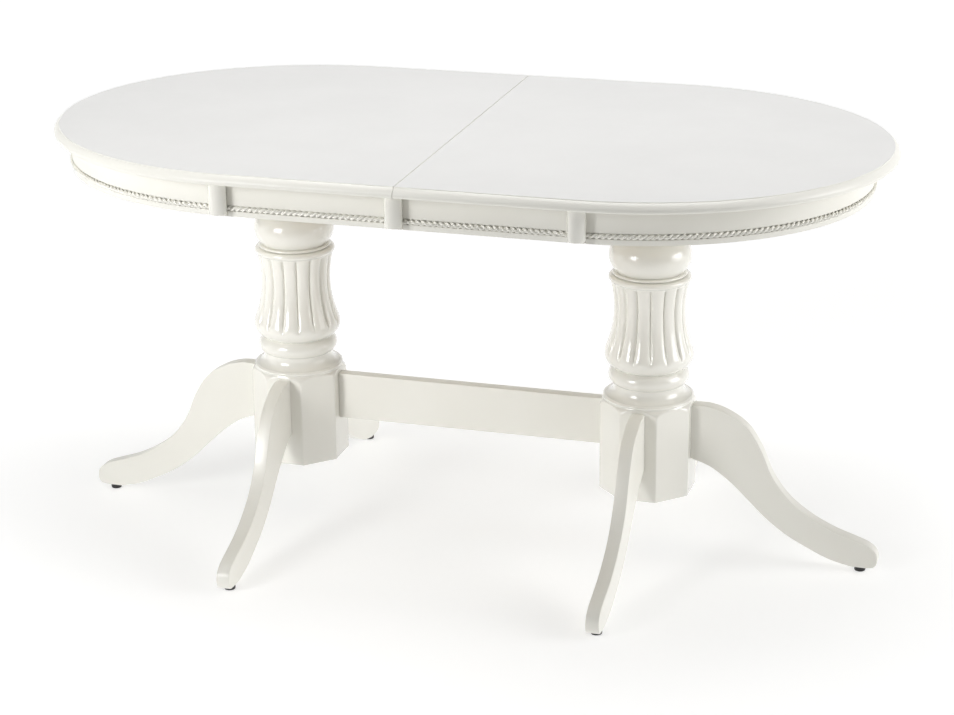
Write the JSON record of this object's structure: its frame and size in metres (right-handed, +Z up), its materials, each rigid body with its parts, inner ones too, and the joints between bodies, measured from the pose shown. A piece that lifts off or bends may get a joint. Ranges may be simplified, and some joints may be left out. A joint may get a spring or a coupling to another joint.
{
  "type": "extendable dining table",
  "caption": "Oval white twin-pedestal dining table whose split top slides apart on geared wooden runners, with reeded columns, curved legs and a rope-moulded apron.",
  "frame": {"origin": "on the floor under the middle of the closed table", "axes": "+X along the table towards the right end, +Y across it towards the back, +Z up"},
  "size_m": [1.5, 0.82, 0.76],
  "materials": {
    "white_lacquer": "satin white lacquer over turned and shaped hardwood and board",
    "slide_wood": "unfinished beech",
    "steel": "zinc-plated steel",
    "black_plastic": "black moulded plastic"
  },
  "bodies": {
    "base": {"left_column": "white_lacquer", "right_column": "white_lacquer", "left_front_leg": "white_lacquer", "left_back_leg": "white_lacquer", "left_end_leg": "white_lacquer", "right_front_leg": "white_lacquer", "right_back_leg": "white_lacquer", "right_end_leg": "white_lacquer", "stretcher": "white_lacquer", "floor_glides": "black_plastic", "glide_nails": "steel", "frame_bolts": "steel", "frame_nuts": "steel", "left_top_plate": "white_lacquer", "right_top_plate": "white_lacquer", "plate_screws": "steel", "left_bearer": "white_lacquer", "right_bearer": "white_lacquer", "front_rail": "slide_wood", "back_rail": "slide_wood", "rail_screws": "steel", "pinion_pins": "steel", "leaf_lower": "white_lacquer", "leaf_upper": "white_lacquer", "leaf_hinges": "steel", "leaf_battens": "slide_wood"},
    "left_half": {"left_top": "white_lacquer", "left_front_apron": "white_lacquer", "left_back_apron": "white_lacquer", "left_end_apron": "white_lacquer", "left_posts": "white_lacquer", "seam_posts": "white_lacquer", "left_rope": "white_lacquer", "front_left_runner": "slide_wood", "back_left_runner": "slide_wood", "left_racks": "steel", "left_glue_blocks": "slide_wood", "left_screws": "steel", "seam_dowels": "slide_wood", "latch_plates": "steel", "latch_pivots": "steel"},
    "right_half": {"right_top": "white_lacquer", "right_front_apron": "white_lacquer", "right_back_apron": "white_lacquer", "right_end_apron": "white_lacquer", "right_posts": "white_lacquer", "right_rope": "white_lacquer", "front_right_runner": "slide_wood", "back_right_runner": "slide_wood", "right_racks": "steel", "right_glue_blocks": "slide_wood", "right_screws": "steel", "catches": "steel"},
    "front_gear": {"front_pinion": "steel"},
    "back_gear": {"back_pinion": "steel"},
    "front_lock": {"front_latch": "steel"},
    "back_lock": {"back_latch": "steel"}
  },
  "joints": [
    {"name": "right_half_slide", "type": "slide", "parent": "base", "child": "right_half", "axis": [1, 0, 0], "range_m": [0, 0.2]},
    {"name": "left_half_slide", "type": "slide", "parent": "base", "child": "left_half", "axis": [-1, 0, 0], "range_m": [0, 0.2]},
    {"name": "front_pinion_spin", "type": "hinge", "parent": "base", "child": "front_gear", "pos_m": [0, -0.25, 0.69625], "axis": [0, 0, 1], "range_deg": [-718, 0]},
    {"name": "back_pinion_spin", "type": "hinge", "parent": "base", "child": "back_gear", "pos_m": [0, 0.25, 0.69625], "axis": [0, 0, 1], "range_deg": [0, 718]},
    {"name": "front_latch_turn", "type": "hinge", "parent": "left_half", "child": "front_lock", "pos_m": [-0.014, -0.323, 0.735], "axis": [0, 0, 1], "range_deg": [-90, 0]},
    {"name": "back_latch_turn", "type": "hinge", "parent": "left_half", "child": "back_lock", "pos_m": [-0.014, 0.323, 0.735], "axis": [0, 0, 1], "range_deg": [0, 90]}
  ],
  "couplings": [
    {"joint": "left_half_slide", "follows": "right_half_slide", "ratio": 1},
    {"joint": "front_pinion_spin", "follows": "right_half_slide", "rad_per_m": -62.5},
    {"joint": "back_pinion_spin", "follows": "right_half_slide", "rad_per_m": 62.5}
  ]
}
